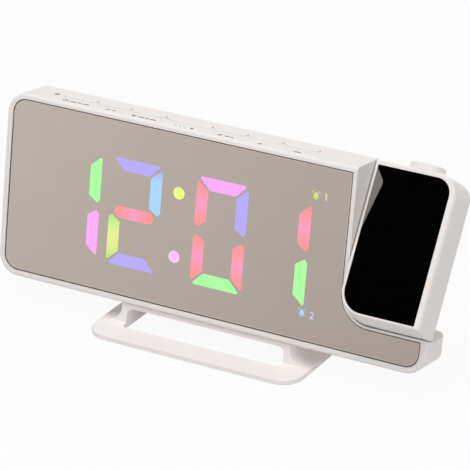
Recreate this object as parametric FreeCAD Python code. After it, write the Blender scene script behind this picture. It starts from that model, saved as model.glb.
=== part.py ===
import FreeCAD, Part
import math
import os
from FreeCAD import Vector

os.makedirs("parts", exist_ok=True)

# A projection alarm clock: an L-shaped housing with a mirror display and a row of
# keys on top, a projector wing that swivels in the corner of the L, and a foot on
# which the housing tilts. Millimetres, +Z up, front towards -Y. The origin is the
# middle of the foot's underside. The housing is drawn upright, with y = 0 on its
# front rim and z = 0 on its underside, and then leaned back about the stand hinge.

# Housing
housing_width = 187.4
housing_height = 74.7
housing_depth = 17.8
corner_radius = 8.6
front_edge_radius = 1.3
top_back_radius = 1.0
back_corner_radius = 4.0
mirror_corner_radius = 0.3
rim_width = 2.6
top_rim_width = 2.0
notch_rim_width = 1.6
ledge_rim_width = 1.0
frame_depth = 4.4
wall = 1.8
notch_wall = 2.0
ledge_height = 14.7
ledge_stock = 1.5
notch_radius = 10.0
lean_angle = 8.0

# Mirror and display
mirror_recess = 0.3
mirror_thickness = 2.0
mirror_fit = 0.1
shelf_width = 1.2
mask_gap = 0.15
mask_depth = 4.1
lens_depth = 2.5
board_thickness = 1.2
display_side = 78.5
display_z = 36.3
board_top_gap = 0.8
digit_width = 22.4
digit_height = 43.2
digit_offsets = (-45.6, -18.75, 18.75, 45.6)
segment_width = 5.0
segment_gap = 0.6
colon_radius = 2.45
colon_spread = 12.8
alarm_mark_x = 57.4
alarm_mark_spread = 23.5
alarm_mark_radius = 2.0
chip_length = 2.4
chip_width = 1.6
chip_height = 1.0

# Keys
key_names = ("time", "alarm", "down", "snooze", "up", "brightness", "projection")
key_row_start = 20.4
key_length = 14.2
snooze_length = 19.3
key_spacing = 1.15
key_width = 4.4
key_y = 9.7
key_proud = 0.3
key_side_gap = 0.2
key_flange = 0.7
key_flange_height = 0.8
key_flange_gap = 0.3
key_travel = 0.6
key_stem_radius = 1.4
key_stem_length = 1.2
switch_width = 4.4
switch_height = 1.6
plunger_radius = 1.0
plunger_height = 0.5
plunger_gap = 0.1
sensor_from_keys = 3.5
sensor_y = 8.7
sensor_hole_radius = 1.2
sensor_radius = 1.8
sensor_gap = 0.3
key_board_edge = 1.0
switch_offset = 0.4

# Projector wing
wing_width = 34.3
wing_gap = 0.5
wing_turn = 24.0
wing_wall = 1.6
wing_top_radius = 8.3
wing_edge_radius = 0.8
wing_side_radius = 2.0
wing_back_radius = 2.0
wing_top_back_radius = 3.0
wing_top = 73.7
pivot_y = 10.8
pivot_height = 40.1
face_left_border = 1.4
face_right_border = 2.3
face_top_border = 1.9
face_bottom_border = 0.75
face_thickness = 1.5
face_top_radius = 6.2
face_bottom_radius = 8.5
face_small_radius = 0.3
face_fit = 0.1
face_backing = 1.4

# Wing pivot
axle_radius = 2.5
axle_bore = 1.5
axle_fit = 0.05
bush_wall = 0.9
bush_flange_radius = 4.3
bush_flange_thickness = 1.2
spring_thickness = 0.5
collar_radius = 4.0
collar_thickness = 1.2
collar_gap = 0.1
axle_flange_radius = 4.6
axle_flange_thickness = 1.4
spring_gap = 0.3
pivot_relief_gap = 0.4
pivot_relief_length = 12.0

# Projector optics
turret_radius = 6.8
turret_height = 2.6
turret_gap = 0.35
turret_edge = 0.7
ring_neck_radius = 5.2
ring_flange_radius = 5.8
ring_flange_height = 0.9
ring_clearance = 0.35
cell_radius = 4.4
cell_fit = 0.05
cell_wall = 0.9
cell_length = 11.0
cell_recess = 1.4
cell_travel = 1.0
lens_thickness = 2.6
lens_depth_in_cell = 1.2
barrel_wall = 1.25
slide_height = 54.0
slide_to_barrel_end = 9.4
slide_to_condenser = 5.4
slide_thickness = 1.0
condenser_thickness = 2.4
led_radius = 2.5
led_height = 3.4
led_board_width = 20.0
led_board_gap = 1.0
led_flange = 0.4
led_flange_height = 0.8
rest_thickness = 1.0
rest_depth = 2.0
saddle_height = 6.0
saddle_thickness = 1.5
saddle_depth = 3.0

# Stand
foot_width = 92.0
foot_depth = 56.0
foot_thickness = 2.3
foot_corner_radius = 9.0
foot_edge = 0.5
foot_bar = 10.1
foot_back_bar = 13.5
foot_opening_radius = 2.2
pad_radius = 4.0
pad_thickness = 1.0
pad_proud = 0.3
pad_inset = 6.0
neck_inner_width = 69.2
cheek = 2.5
neck_front = 1.6
neck_back = 16.0
neck_gap = 0.35
neck_roof = 1.8
neck_opening_radius = 2.6
cheek_flare = 6.0
front_flare = 2.0

# Stand hinge
hinge_radius = 3.5
hinge_height = 12.54
hinge_spread = 27.0
lug_width = 6.0
lug_radius = 3.2
lug_side_gap = 0.3
lug_notch_gap = 0.4
knuckle_width = 3.2
knuckle_wall = 1.8
pin_radius = 1.0
pin_fit = 0.05

# Boards, sockets and fasteners
standoff = 0.4
main_chip_sizes = (
    (38.0, 17.0, 12.0, 12.0, 1.6),
    (56.0, 21.0, 10.0, 7.0, 1.6),
    (18.0, 7.0, 6.0, 6.0, 2.2),
)
capacitor_across = 30.0
capacitor_up = 9.0
capacitor_radius = 3.0
capacitor_height = 5.0
board_from_end = 5.5
standoff_radius = 2.0
standoff_inset = 4.0
rib_thickness = 1.8
rib_height = 4.0
rib_pitch = 40.0
rib_count = 3
main_board_width = 76.0
main_board_bottom = 13.0
main_board_height = 46.0
usb_z = 40.0
usb_width = 13.1
usb_height = 5.7
usb_length = 14.0
usb_shell = 0.5
usb_tongue_width = 10.6
usb_tongue_thickness = 1.8
socket_gap = 0.2
inlet_z = 22.0
inlet_width = 6.4
inlet_height = 5.0
inlet_length = 11.0
inlet_bore_radius = 1.9
inlet_pin_radius = 0.65
inlet_depth = 8.0
cell_from_notch = 39.0
cell_z = 36.5
coin_radius = 10.0
coin_thickness = 3.2
coin_gap = 0.2
holder_wall = 1.6
holder_floor = 0.8
door_width = 27.0
door_radius = 5.0
door_thickness = 1.0
door_gap = 0.15
door_screw_offset = 10.2
door_screw_seat = 0.5
speaker_from_notch = 14.5
speaker_z = 36.5
speaker_radius = 8.0
speaker_height = 3.2
grille_slots = 6
grille_pitch = 2.2
grille_slot = 1.0
grille_length = 11.0
screw_radius = 0.9
screw_hole_radius = 1.15
screw_head_radius = 1.9
screw_head_height = 1.2
screw_recess = 1.6
screw_recess_gap = 0.2
post_radius = 2.9
post_length = 5.6
post_gap = 0.3
boss_radius = 3.0
screw_inset = 6.2
notch_screw_inset = 5.2
wing_screw_inset = 7.0
wing_boss_radius = 2.4

# Values that follow from the sizes above
half_width = housing_width / 2
wing_left = half_width - wing_width
wing_middle = half_width - wing_width / 2
notch_left = wing_left - wing_gap
display_x = -half_width + display_side
key_row_left = -half_width + key_row_start
sensor_x = key_row_left - sensor_from_keys
main_board_left = -half_width + board_from_end
cell_x = notch_left - cell_from_notch
speaker_x = notch_left - speaker_from_notch
wing_parting = housing_depth / 2
barrel_bottom = slide_height - slide_to_barrel_end
condenser_height = slide_height - slide_to_condenser
trough_radius = math.hypot(pivot_height - ledge_height, pivot_y)
wing_sweep_radius = trough_radius - wing_gap
trough_bottom = pivot_height - trough_radius
wing_front_bottom = pivot_height - math.sqrt(wing_sweep_radius ** 2 - pivot_y ** 2)
face_bottom = wing_front_bottom + face_bottom_border
back_inside = housing_depth - wall
mirror_back = mirror_recess + mirror_thickness
mask_back = mirror_back + mask_depth
display_board_back = mask_back + board_thickness
hinge_y = housing_depth - hinge_radius
hinge_z = hinge_radius
top_inside = housing_height - wall
key_flange_top = top_inside - key_flange_gap
stem_bottom = key_flange_top - key_flange_height - key_stem_length
plunger_top = stem_bottom - key_travel - plunger_gap
key_board_top = plunger_top - plunger_height - switch_height
optics_y = (face_thickness + face_backing + housing_depth - wing_wall) / 2
housing_screw_places = (
    (-half_width + screw_inset, screw_inset),
    (0.0, screw_inset),
    (half_width - screw_inset, screw_inset),
    (notch_left - notch_screw_inset, housing_height - screw_inset),
    (-half_width + screw_inset, housing_height - screw_inset),
)
wing_screw_places = (
    (wing_left + wing_screw_inset, wing_top - wing_screw_inset),
    (half_width - wing_screw_inset, face_bottom + wing_screw_inset),
)


# Outlines with rounded corners
def rounded_wire(corners, place):
    edges = []
    spans = []
    count = len(corners)
    for i in range(count):
        before = Vector(corners[i - 1][0], corners[i - 1][1], 0)
        here = Vector(corners[i][0], corners[i][1], 0)
        after = Vector(corners[(i + 1) % count][0], corners[(i + 1) % count][1], 0)
        radius = corners[i][2] if len(corners[i]) > 2 else 0
        back = (before - here).normalize()
        ahead = (after - here).normalize()
        half_angle = back.getAngle(ahead) / 2
        if radius <= 0:
            spans.append((here, None, here))
            continue
        reach = radius / math.tan(half_angle)
        centre = here + (back + ahead).normalize() * (radius / math.sin(half_angle))
        middle = centre + (here - centre).normalize() * radius
        spans.append((here + back * reach, middle, here + ahead * reach))
    for i in range(count):
        start, middle, end = spans[i]
        if middle is not None:
            edges.append(Part.Arc(place(start), place(middle), place(end)).toShape())
        following = spans[(i + 1) % count][0]
        if (following - end).Length > 1e-6:
            edges.append(Part.LineSegment(place(end), place(following)).toShape())
    return Part.Wire(edges)


def prism_y(corners, start, end):
    wire = rounded_wire(corners, lambda p: Vector(p.x, start, p.y))
    return Part.Face(wire).extrude(Vector(0, end - start, 0))


def prism_x(corners, start, end):
    wire = rounded_wire(corners, lambda p: Vector(start, p.x, p.y))
    return Part.Face(wire).extrude(Vector(end - start, 0, 0))


def prism_z(corners, start, end):
    wire = rounded_wire(corners, lambda p: Vector(p.x, p.y, start))
    return Part.Face(wire).extrude(Vector(0, 0, end - start))


def box(x0, x1, y0, y1, z0, z1):
    return Part.makeBox(x1 - x0, y1 - y0, z1 - z0, Vector(x0, y0, z0))


def rod_x(radius, x0, x1, y, z):
    return Part.makeCylinder(radius, x1 - x0, Vector(x0, y, z), Vector(1, 0, 0))


def rod_y(radius, x, y0, y1, z):
    return Part.makeCylinder(radius, y1 - y0, Vector(x, y0, z), Vector(0, 1, 0))


def rod_z(radius, x, y, z0, z1):
    return Part.makeCylinder(radius, z1 - z0, Vector(x, y, z0), Vector(0, 0, 1))


def rectangle(left, right, bottom, top, radius=0.0):
    return [(left, bottom, radius), (right, bottom, radius), (right, top, radius), (left, top, radius)]


def slot_outline(left, right, middle, width):
    radius = width / 2 - 0.001
    return rectangle(left, right, middle - width / 2, middle + width / 2, radius)


def group(shapes):
    return Part.makeCompound(shapes)


# Places of the moving assemblies
def stood(shape):
    placed = shape.copy()
    placed.translate(Vector(0, -hinge_y, -hinge_z))
    placed.rotate(Vector(0, 0, 0), Vector(1, 0, 0), -lean_angle)
    placed.translate(Vector(0, 0, hinge_height))
    return placed


def turned(shape):
    placed = shape.copy()
    placed.rotate(Vector(0, pivot_y, pivot_height), Vector(1, 0, 0), -wing_turn)
    return stood(placed)


def save(name, shape):
    shape.exportStep("parts/" + name + ".step")


# Housing form: front, side and top views intersected
def housing_outline(side, top, notch, ledge):
    right = half_width - side
    radius = corner_radius - side
    sharp = mirror_corner_radius if side > 0 else 0
    return [
        (-right, side, radius),
        (right, side, radius),
        (right, ledge_height - ledge, sharp),
        (notch_left - notch, ledge_height - ledge, notch_radius + notch),
        (notch_left - notch, housing_height - top, sharp),
        (-right, housing_height - top, radius),
    ]


def swept_by_wing(radius, left, corner):
    profile = [
        (left, 0),
        (half_width + corner_radius, 0),
        (half_width + corner_radius, radius),
        (left, radius, corner),
    ]
    wire = rounded_wire(profile, lambda p: Vector(p.x, pivot_y, pivot_height - p.y))
    return Part.Face(wire).revolve(Vector(0, pivot_y, pivot_height), Vector(1, 0, 0), 360)


def housing_form():
    front = prism_y(housing_outline(0, 0, 0, -ledge_stock), 0, housing_depth)
    rims = []
    for edge in front.Edges:
        at_notch = edge.BoundBox.XMin > notch_left - wing_gap and edge.BoundBox.ZMin > ledge_height
        if edge.BoundBox.YMax < front_edge_radius and not at_notch:
            rims.append(edge)
    front = front.makeFillet(front_edge_radius, rims)
    side = prism_x(
        [
            (0, 0),
            (housing_depth, 0, hinge_radius),
            (housing_depth, housing_height, top_back_radius),
            (0, housing_height),
        ],
        -half_width,
        half_width,
    )
    top = prism_z(
        [
            (-half_width, 0),
            (half_width, 0),
            (half_width, housing_depth, back_corner_radius),
            (-half_width, housing_depth, back_corner_radius),
        ],
        0,
        housing_height,
    )
    clearance = swept_by_wing(trough_radius, notch_left, notch_radius)
    return front.common(side).common(top).cut(clearance)


def slab(y0, y1):
    return box(-housing_width, housing_width, y0, y1, -housing_height, 2 * housing_height)


def make_front_frame(form):
    frame = form.common(slab(0, frame_depth))
    window = housing_outline(rim_width, top_rim_width, notch_rim_width, ledge_rim_width)
    frame = frame.cut(prism_y(window, 0, mirror_back))
    inner = housing_outline(
        rim_width + shelf_width, top_rim_width + shelf_width, notch_rim_width + shelf_width, display_inset()
    )
    frame = frame.cut(prism_y(inner, mirror_back, frame_depth))
    for x, z in housing_screw_places:
        post = rod_y(post_radius, x, mirror_back, mirror_back + post_length, z)
        pilot = rod_y(screw_radius, x, mirror_back + 1, mirror_back + post_length, z)
        frame = frame.fuse(post).cut(pilot)
    return frame


def display_inset():
    return ledge_height - trough_bottom + wall


def make_rear_housing(form):
    shell = form.common(slab(frame_depth, housing_depth))
    cavity = prism_y(housing_outline(wall, wall, notch_wall, display_inset()), frame_depth, back_inside)
    shell = shell.cut(cavity)
    for name, left, right in key_spans():
        opening = slot_outline(left - key_side_gap, right + key_side_gap, key_y, key_width + 2 * key_side_gap)
        shell = shell.cut(prism_z(opening, top_inside - 1, housing_height + 1))
    shell = shell.cut(rod_z(sensor_hole_radius, sensor_x, sensor_y, top_inside - 1, housing_height + 1))
    for x, z in housing_screw_places:
        boss = rod_y(boss_radius, x, mirror_back + post_length, back_inside, z)
        head = rod_y(screw_head_radius + screw_recess_gap, x, housing_depth - screw_recess, housing_depth, z)
        hole = rod_y(screw_hole_radius, x, mirror_back + post_length, housing_depth, z)
        shell = shell.fuse(boss).cut(head).cut(hole)
    for side in (-1, 1):
        shell = add_hinge_block(shell, side * hinge_spread)
    for i in range(rib_count):
        x = key_row_left + (i + 0.5) * rib_pitch
        bottom = key_board_bottom() - rib_height
        shell = shell.fuse(box(x, x + rib_thickness, key_board_front(), back_inside, bottom, key_board_bottom()))
    for x in (main_board_left + standoff_inset, main_board_left + main_board_width - standoff_inset):
        for z in (main_board_bottom + standoff_inset, main_board_bottom + main_board_height - standoff_inset):
            shell = shell.fuse(rod_y(standoff_radius, x, back_inside - standoff, back_inside, z))
    shell = shell.cut(usb_opening()).cut(inlet_opening())
    door_outer = door_outline(0)
    shell = shell.cut(prism_y(door_outer, housing_depth - door_thickness, housing_depth))
    shell = shell.cut(rod_y(coin_radius + coin_gap, cell_x, back_inside, housing_depth, cell_z))
    door_post = rod_y(boss_radius, cell_x + door_screw_offset, back_inside - 3, back_inside, cell_z + door_screw_offset)
    shell = shell.fuse(door_post).cut(door_screw_hole(back_inside - 2))
    for i in range(grille_slots):
        z = speaker_z + (i - (grille_slots - 1) / 2) * grille_pitch
        outline = slot_outline(speaker_x - grille_length / 2, speaker_x + grille_length / 2, z, grille_slot)
        shell = shell.cut(prism_y(outline, back_inside, housing_depth))
    bush_hole = rod_x(axle_radius + axle_fit + bush_wall, notch_left - notch_wall, notch_left, pivot_y, pivot_height)
    return shell.cut(bush_hole)


def add_hinge_block(shell, x):
    half_notch = lug_width / 2 + lug_side_gap
    half_block = half_notch + knuckle_width
    inner = lug_radius + lug_notch_gap
    block_front = hinge_y - inner - knuckle_wall
    block_top = hinge_z + inner + knuckle_wall
    block = prism_x(
        [
            (block_front, 0.5),
            (hinge_y, 0),
            (housing_depth, 0, hinge_radius),
            (housing_depth, block_top),
            (block_front, block_top),
        ],
        x - half_block,
        x + half_block,
    )
    notch = prism_x(
        [
            (hinge_y - inner, -1),
            (housing_depth + 1, -1),
            (housing_depth + 1, hinge_z + inner),
            (hinge_y - inner, hinge_z + inner, inner - 0.01),
        ],
        x - half_notch,
        x + half_notch,
    )
    pin_hole = rod_x(pin_radius + pin_fit, x - half_block, x + half_block, hinge_y, hinge_z)
    return shell.fuse(block).cut(notch).cut(pin_hole)


# Display
def make_mirror():
    outline = housing_outline(
        rim_width + mirror_fit,
        top_rim_width + mirror_fit,
        notch_rim_width + mirror_fit,
        ledge_rim_width + mirror_fit,
    )
    return prism_y(outline, mirror_recess, mirror_back)


def plate_outline(top_gap):
    edge = shelf_width + mask_gap
    return housing_outline(
        rim_width + edge, top_rim_width + edge + top_gap, notch_rim_width + edge, display_inset() + mask_gap
    )


def digit_segments(centre):
    right = digit_width / 2
    top = digit_height / 2
    inner_x = right - segment_width
    inner_z = top - segment_width
    bevel = segment_gap
    point = segment_width / 4
    middle = segment_width / 2
    shapes = []
    for up in (-1, 1):
        shapes.append([
            (-right + bevel + point, up * top),
            (right - bevel - point, up * top),
            (right - bevel - point / 2, up * (top - point / 2)),
            (inner_x - bevel, up * inner_z),
            (-inner_x + bevel, up * inner_z),
            (-right + bevel + point / 2, up * (top - point / 2)),
        ])
        for side in (-1, 1):
            shapes.append([
                (side * right, up * (middle + segment_gap)),
                (side * (right - point), up * segment_gap),
                (side * inner_x, up * (middle + segment_gap)),
                (side * inner_x, up * (inner_z - bevel)),
                (side * (right - point / 2), up * (top - bevel - point / 2)),
                (side * right, up * (top - 2 * bevel - point / 2)),
            ])
    shapes.append([
        (-inner_x - point, 0),
        (-inner_x + point, middle),
        (inner_x - point, middle),
        (inner_x + point, 0),
        (inner_x - point, -middle),
        (-inner_x + point, -middle),
    ])
    return [[(display_x + centre + x, display_z + z) for x, z in shape] for shape in shapes]


def light_cells(y0, y1):
    cells = []
    for centre in digit_offsets:
        for outline in digit_segments(centre):
            cells.append(prism_y(outline, y0, y1))
    for side in (-1, 1):
        cells.append(rod_y(colon_radius, display_x, y0, y1, display_z + side * colon_spread))
        cells.append(rod_y(alarm_mark_radius, display_x + alarm_mark_x, y0, y1, display_z + side * alarm_mark_spread))
    return cells


def display_plate(y0, y1, top_gap):
    relief_radius = axle_flange_radius + pivot_relief_gap
    relief = rod_x(relief_radius, notch_left - pivot_relief_length, notch_left, pivot_y, pivot_height)
    plate = prism_y(plate_outline(top_gap), y0, y1).cut(relief)
    for x, z in housing_screw_places:
        plate = plate.cut(rod_y(post_radius + post_gap, x, y0, y1, z))
    return plate


def make_light_mask():
    return display_plate(mirror_back, mask_back, 0).cut(group(light_cells(mirror_back, mask_back)))


def make_display_leds():
    chips = []
    for cell in light_cells(mirror_back, mask_back):
        middle = cell.CenterOfMass
        half_length = chip_length / 2
        half_chip = chip_width / 2
        size = cell.BoundBox
        if size.XLength < size.ZLength:
            half_length, half_chip = half_chip, half_length
        chips.append(box(
            middle.x - half_length, middle.x + half_length,
            mask_back - chip_height, mask_back,
            middle.z - half_chip, middle.z + half_chip,
        ))
    return group(chips)


# Keys and their board
def key_spans():
    spans = []
    left = key_row_left
    for name in key_names:
        length = snooze_length if name == "snooze" else key_length
        spans.append((name, left, left + length))
        left += length + key_spacing
    return spans


def key_board_bottom():
    return key_board_top - board_thickness


def make_key(left, right):
    middle = (left + right) / 2
    cap = prism_z(slot_outline(left, right, key_y, key_width), key_flange_top, housing_height + key_proud)
    rims = [edge for edge in cap.Edges if edge.BoundBox.ZMin > housing_height]
    cap = cap.makeFillet(key_proud, rims)
    flange_outline = slot_outline(left - key_flange / 2, right + key_flange / 2, key_y, key_width + key_flange)
    flange = prism_z(flange_outline, key_flange_top - key_flange_height, key_flange_top)
    stem = rod_z(key_stem_radius, middle, key_y, stem_bottom, key_flange_top - key_flange_height)
    return cap.fuse(flange).fuse(stem)


def key_board_front():
    return sensor_y - key_board_edge


def make_key_board():
    left = sensor_x - sensor_radius - key_board_edge
    right = key_spans()[-1][2] + key_board_edge
    return box(left, right, key_board_front(), back_inside, key_board_bottom(), key_board_top)


def make_key_switches():
    switches = []
    for name, left, right in key_spans():
        middle = (left + right) / 2
        half = switch_width / 2
        body = box(
            middle - half, middle + half, key_y - half + switch_offset, key_y + half + switch_offset,
            key_board_top, key_board_top + switch_height,
        )
        plunger = rod_z(plunger_radius, middle, key_y, key_board_top + switch_height, plunger_top)
        switches.append(body.fuse(plunger))
    return group(switches)


def make_light_sensor():
    return rod_z(sensor_radius, sensor_x, sensor_y + sensor_radius / 2, key_board_top, top_inside - sensor_gap)


# Boards, sockets and power
def make_main_board():
    back = back_inside - standoff
    return box(
        main_board_left, main_board_left + main_board_width, back - board_thickness, back,
        main_board_bottom, main_board_bottom + main_board_height,
    )


def sockets_back():
    return back_inside - standoff - board_thickness


def make_main_chips():
    back = sockets_back()
    shapes = []
    for across, up, length, width, height in main_chip_sizes:
        x = main_board_left + across
        z = main_board_bottom + up
        shapes.append(box(x, x + length, back - height, back, z, z + width))
    x = main_board_left + capacitor_across
    z = main_board_bottom + capacitor_up
    shapes.append(rod_y(capacitor_radius, x, back - capacitor_height, back, z))
    return group(shapes)


def usb_opening():
    back = sockets_back()
    return box(
        -half_width - 1, -half_width + wall + 1, back - usb_height - socket_gap, back + socket_gap,
        usb_z - usb_width / 2 - socket_gap, usb_z + usb_width / 2 + socket_gap,
    )


def make_usb_port():
    back = sockets_back()
    mouth = -half_width + 0.3
    low = usb_z - usb_width / 2
    high = usb_z + usb_width / 2
    port = box(mouth, mouth + usb_length, back - usb_height, back, low, high)
    inside = box(
        mouth, mouth + usb_length - 2, back - usb_height + usb_shell, back - usb_shell,
        low + usb_shell, high - usb_shell,
    )
    tongue = box(
        mouth + 1, mouth + usb_length - 2, back - usb_shell - usb_tongue_thickness, back - usb_shell,
        usb_z - usb_tongue_width / 2, usb_z + usb_tongue_width / 2,
    )
    return port.cut(inside).fuse(tongue)


def inlet_opening():
    back = sockets_back()
    return box(
        -half_width - 1, -half_width + wall + 1, back - inlet_height - socket_gap, back + socket_gap,
        inlet_z - inlet_width / 2 - socket_gap, inlet_z + inlet_width / 2 + socket_gap,
    )


def make_power_inlet():
    back = sockets_back()
    mouth = -half_width + 0.3
    middle = back - inlet_height / 2
    body = box(
        mouth, mouth + inlet_length, back - inlet_height, back,
        inlet_z - inlet_width / 2, inlet_z + inlet_width / 2,
    )
    bore = rod_x(inlet_bore_radius, mouth, mouth + inlet_depth, middle, inlet_z)
    pin = rod_x(inlet_pin_radius, mouth + 0.6, mouth + inlet_depth, middle, inlet_z)
    return body.cut(bore).fuse(pin)


def coin_back():
    return housing_depth - door_thickness - coin_gap


def make_coin_cell():
    return rod_y(coin_radius, cell_x, coin_back() - coin_thickness, coin_back(), cell_z)


def make_cell_holder():
    front = coin_back() - coin_thickness - holder_floor
    outer = rod_y(coin_radius + coin_gap + holder_wall, cell_x, front, back_inside, cell_z)
    pocket = rod_y(coin_radius + coin_gap, cell_x, front + holder_floor, back_inside, cell_z)
    window = rod_y(coin_radius / 2, cell_x, front, front + holder_floor, cell_z)
    post = rod_y(boss_radius + post_gap, cell_x + door_screw_offset, front, back_inside, cell_z + door_screw_offset)
    return outer.cut(pocket).cut(window).cut(post)


def door_outline(inset):
    half = door_width / 2 - inset
    return rectangle(cell_x - half, cell_x + half, cell_z - half, cell_z + half, door_radius - inset)


def door_screw_hole(front):
    x = cell_x + door_screw_offset
    z = cell_z + door_screw_offset
    return rod_y(screw_radius, x, front, housing_depth, z)


def make_battery_door():
    door = prism_y(door_outline(door_gap), housing_depth - door_thickness, housing_depth)
    x = cell_x + door_screw_offset
    z = cell_z + door_screw_offset
    recess = rod_y(screw_head_radius + screw_recess_gap, x, housing_depth - door_screw_seat, housing_depth, z)
    return door.cut(rod_y(screw_hole_radius, x, housing_depth - door_thickness, housing_depth, z)).cut(recess)


def make_screw(x, z, tip, seat):
    shank = rod_y(screw_radius, x, tip, seat, z)
    head = rod_y(screw_head_radius, x, seat, seat + screw_head_height, z)
    cross = group([
        box(x - 1.2, x + 1.2, seat + 0.5, seat + screw_head_height, z - 0.25, z + 0.25),
        box(x - 0.25, x + 0.25, seat + 0.5, seat + screw_head_height, z - 1.2, z + 1.2),
    ])
    return shank.fuse(head).cut(cross)


def make_battery_screw():
    x = cell_x + door_screw_offset
    z = cell_z + door_screw_offset
    return make_screw(x, z, back_inside - 2, housing_depth - door_screw_seat)


def make_speaker():
    can = rod_y(speaker_radius, speaker_x, back_inside - speaker_height, back_inside, speaker_z)
    mouth = rod_y(speaker_radius / 4, speaker_x, back_inside - 1, back_inside, speaker_z)
    return can.cut(mouth)


# Wing pivot
def make_pivot_bush():
    inner = axle_radius + axle_fit
    inside = notch_left - notch_wall
    sleeve = rod_x(inner + bush_wall, inside, notch_left, pivot_y, pivot_height)
    flange = rod_x(bush_flange_radius, inside - bush_flange_thickness, inside, pivot_y, pivot_height)
    bore = rod_x(inner, inside - bush_flange_thickness, notch_left, pivot_y, pivot_height)
    return sleeve.fuse(flange).cut(bore)


def spring_face():
    return notch_left - notch_wall - bush_flange_thickness


def make_pivot_spring():
    outer = rod_x(collar_radius, spring_face() - spring_thickness, spring_face(), pivot_y, pivot_height)
    hole = rod_x(axle_radius + spring_gap, spring_face() - spring_thickness, spring_face(), pivot_y, pivot_height)
    return outer.cut(hole)


def make_axle():
    end = spring_face() - spring_thickness - collar_gap
    inside = wing_left + wing_wall
    tube = rod_x(axle_radius, end - collar_thickness, inside + axle_flange_thickness, pivot_y, pivot_height)
    collar = rod_x(collar_radius, end - collar_thickness, end, pivot_y, pivot_height)
    flange = rod_x(axle_flange_radius, inside, inside + axle_flange_thickness, pivot_y, pivot_height)
    bore = rod_x(axle_bore, end - collar_thickness, inside + axle_flange_thickness, pivot_y, pivot_height)
    return tube.fuse(collar).fuse(flange).cut(bore)


# Projector wing
def wing_form(inset):
    left = wing_left + inset
    right = half_width - inset
    bottom = trough_bottom
    top = wing_top - inset
    back = housing_depth - inset
    edge = max(wing_edge_radius - inset, 0)
    front_side = max(wing_side_radius - inset, 0)
    rear_edge = max(wing_back_radius - inset, 0)
    top_rear = wing_top_back_radius - inset
    front_view = prism_y(
        [(left, bottom), (right, bottom), (right, top, wing_top_radius - inset), (left, top, edge)],
        inset,
        back,
    )
    side_view = prism_x(
        [(inset, bottom), (back, bottom), (back, top, top_rear), (inset, top, edge)],
        left,
        right,
    )
    top_view = prism_z(
        [(left, inset, edge), (right, inset, front_side), (right, back, rear_edge), (left, back, edge)],
        bottom,
        top,
    )
    form = front_view.common(side_view).common(top_view)
    lower = box(left - 5, right + 5, -5, housing_depth + 5, bottom - 5, pivot_height)
    corner = notch_radius - wing_gap - inset
    swept = swept_by_wing(wing_sweep_radius - inset, left, corner)
    return form.cut(lower.cut(swept))


def face_outline(grow):
    left = wing_left + face_left_border - grow
    right = half_width - face_right_border + grow
    top = wing_top - face_top_border + grow
    return [
        (left, face_bottom - grow, face_bottom_radius),
        (right, face_bottom - grow, face_small_radius),
        (right, top, face_top_radius),
        (left, top, face_small_radius),
    ]


def make_wing_front(form, hollow):
    shell = form.common(slab(0, wing_parting))
    shell = shell.cut(hollow.common(slab(face_thickness + face_backing, wing_parting)))
    shell = shell.cut(prism_y(face_outline(face_fit), 0, face_thickness))
    for x, z in wing_screw_places:
        post = rod_y(wing_boss_radius, x, face_thickness + face_backing, wing_parting, z)
        pilot = rod_y(screw_radius, x, face_thickness + face_backing, wing_parting, z)
        shell = shell.fuse(post).cut(pilot)
    return shell.cut(wing_openings())


def make_wing_rear(form, hollow):
    shell = form.common(slab(wing_parting, housing_depth))
    shell = shell.cut(hollow.common(slab(wing_parting, housing_depth)))
    inside = housing_depth - wing_wall
    half_board = led_board_width / 2
    left = wing_middle - half_board
    right = wing_middle + half_board
    rest = box(left, right, inside - rest_depth, inside, led_board_bottom() - rest_thickness, led_board_bottom())
    saddle_bottom = slide_height + saddle_height
    saddle = box(left, right, inside - saddle_depth, inside, saddle_bottom, saddle_bottom + saddle_thickness)
    shell = shell.fuse(rest).fuse(saddle)
    for x, z in wing_screw_places:
        boss = rod_y(wing_boss_radius, x, wing_parting, inside, z)
        head = rod_y(screw_head_radius + screw_recess_gap, x, housing_depth - screw_recess, housing_depth, z)
        hole = rod_y(screw_hole_radius, x, wing_parting, housing_depth, z)
        shell = shell.fuse(boss).cut(head).cut(hole)
    shell = shell.cut(rod_z(barrel_outer(), wing_middle, optics_y, barrel_bottom, barrel_top()))
    return shell.cut(wing_openings())


def wing_openings():
    axle_hole = rod_x(axle_radius, wing_left - 1, wing_left + wing_wall + 1, pivot_y, pivot_height)
    ring_hole = rod_z(
        ring_neck_radius + ring_clearance, wing_middle, optics_y,
        wing_top - wing_wall - 1, wing_top + 1,
    )
    ring_pocket = rod_z(
        ring_flange_radius + ring_clearance, wing_middle, optics_y,
        barrel_top(), wing_top - wing_wall,
    )
    return group([axle_hole, ring_hole.fuse(ring_pocket)])


def make_face():
    return prism_y(face_outline(0), 0, face_thickness)


# Projector optics, along the wing's height
def barrel_inner():
    return cell_radius + cell_fit


def barrel_outer():
    return barrel_inner() + barrel_wall


def ring_flange_top():
    return wing_top - wing_wall - ring_clearance


def barrel_top():
    return ring_flange_top() - ring_flange_height - ring_clearance


def turret_top():
    return wing_top + turret_gap + turret_height


def led_board_bottom():
    return barrel_bottom - board_thickness - led_board_gap


def make_focus_ring():
    turret = rod_z(turret_radius, wing_middle, optics_y, wing_top + turret_gap, turret_top())
    rims = [edge for edge in turret.Edges if edge.BoundBox.ZMin > turret_top() - 0.01]
    turret = turret.makeFillet(turret_edge, rims)
    flange_bottom = ring_flange_top() - ring_flange_height
    neck = rod_z(ring_neck_radius, wing_middle, optics_y, flange_bottom, wing_top + turret_gap)
    flange = rod_z(ring_flange_radius, wing_middle, optics_y, flange_bottom, ring_flange_top())
    bore = rod_z(cell_radius, wing_middle, optics_y, 0, turret_top())
    return turret.fuse(neck).fuse(flange).cut(bore)


def cell_top():
    return turret_top() - cell_recess


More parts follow.
